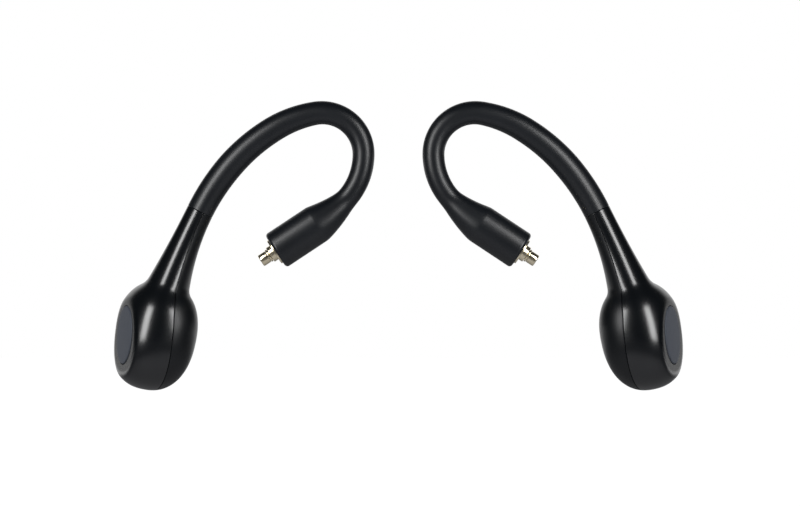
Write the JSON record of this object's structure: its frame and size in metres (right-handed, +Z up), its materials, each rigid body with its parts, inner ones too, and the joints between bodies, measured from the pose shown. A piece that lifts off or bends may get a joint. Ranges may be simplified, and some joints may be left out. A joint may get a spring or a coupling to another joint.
{
  "type": "pair of in-ear monitor ear hooks",
  "caption": "Mirrored pair of wireless over-ear adapters for in-ear monitors: battery pod with button, neck, moulded ear hook and push-fit coaxial plug.",
  "frame": {"origin": "midway between the two units in the plane of the hooks, at the height of the hooks' inner crown where the ears carry them", "axes": "+X from the right ear's unit to the left ear's unit, -Y towards the front, +Z up as worn"},
  "size_m": [0.1136, 0.0182, 0.0581],
  "materials": {
    "outer_shell": "satin-gloss black",
    "inner_shell": "satin dark grey",
    "button": "satin slate grey",
    "hook_rubber": "fine-grained charcoal",
    "gilt": "pale gilt plate",
    "dark_moulding": "moulded",
    "silicone": "soft",
    "circuit_board": "solder resist",
    "chip": "moulded epoxy",
    "bright_can": "nickel plate",
    "clear_moulding": "clear",
    "gauze": "woven",
    "flex_film": "amber film",
    "lead_jacket": "smooth",
    "wire": "enamel",
    "insulator": "white"
  },
  "bodies": {
    "right_unit": {"right_outer_shell": "outer_shell", "right_inner_shell": "inner_shell", "right_shell_gasket": "silicone", "right_button_seal": "silicone", "right_switch_body": "dark_moulding", "right_main_board": "circuit_board", "right_radio_processor": "chip", "right_board_chips": "chip", "right_status_lamp": "clear_moulding", "right_light_guide": "clear_moulding", "right_microphone": "bright_can", "right_microphone_gauze": "gauze", "right_board_frame": "dark_moulding", "right_cell": "bright_can", "right_cell_tabs": "bright_can", "right_charging_contacts": "gilt", "right_contact_flex": "flex_film", "right_hook_anchor": "dark_moulding", "right_signal_lead": "lead_jacket", "right_board_wires": "wire", "right_antenna": "flex_film", "right_hook_moulding": "hook_rubber", "right_plug_carrier": "dark_moulding", "right_plug_shell": "gilt", "right_plug_insulator": "insulator", "right_centre_pin": "gilt"},
    "right_button": {"right_button_cap": "button", "right_switch_plunger": "dark_moulding"},
    "right_snap_ring": {"right_snap_ring": "gilt"},
    "left_unit": {"left_outer_shell": "outer_shell", "left_inner_shell": "inner_shell", "left_shell_gasket": "silicone", "left_button_seal": "silicone", "left_switch_body": "dark_moulding", "left_main_board": "circuit_board", "left_radio_processor": "chip", "left_board_chips": "chip", "left_status_lamp": "clear_moulding", "left_light_guide": "clear_moulding", "left_microphone": "bright_can", "left_microphone_gauze": "gauze", "left_board_frame": "dark_moulding", "left_cell": "bright_can", "left_cell_tabs": "bright_can", "left_charging_contacts": "gilt", "left_contact_flex": "flex_film", "left_hook_anchor": "dark_moulding", "left_signal_lead": "lead_jacket", "left_board_wires": "wire", "left_antenna": "flex_film", "left_hook_moulding": "hook_rubber", "left_plug_carrier": "dark_moulding", "left_plug_shell": "gilt", "left_plug_insulator": "insulator", "left_centre_pin": "gilt"},
    "left_button": {"left_button_cap": "button", "left_switch_plunger": "dark_moulding"},
    "left_snap_ring": {"left_snap_ring": "gilt"}
  },
  "joints": [
    {"name": "left_unit_spread", "type": "slide", "parent": "right_unit", "child": "left_unit", "axis": [1, 0, 0], "range_m": [0, 0.02]},
    {"name": "right_button_press", "type": "slide", "parent": "right_unit", "child": "right_button", "axis": [0.9249, 0.3737, -0.0698], "range_m": [0, 0.0003], "stiffness_N_per_m": 1500, "springref_m": -0.0006},
    {"name": "right_snap_ring_spin", "type": "hinge", "parent": "right_unit", "child": "right_snap_ring", "pos_m": [-0.02671, 0, -0.02658], "axis": [-0.8339, 0, -0.5519], "continuous": true},
    {"name": "left_button_press", "type": "slide", "parent": "left_unit", "child": "left_button", "axis": [-0.9249, 0.3737, -0.0698], "range_m": [0, 0.0003], "stiffness_N_per_m": 1500, "springref_m": -0.0006},
    {"name": "left_snap_ring_spin", "type": "hinge", "parent": "left_unit", "child": "left_snap_ring", "pos_m": [0.02671, 0, -0.02658], "axis": [0.8339, 0, -0.5519], "continuous": true}
  ]
}
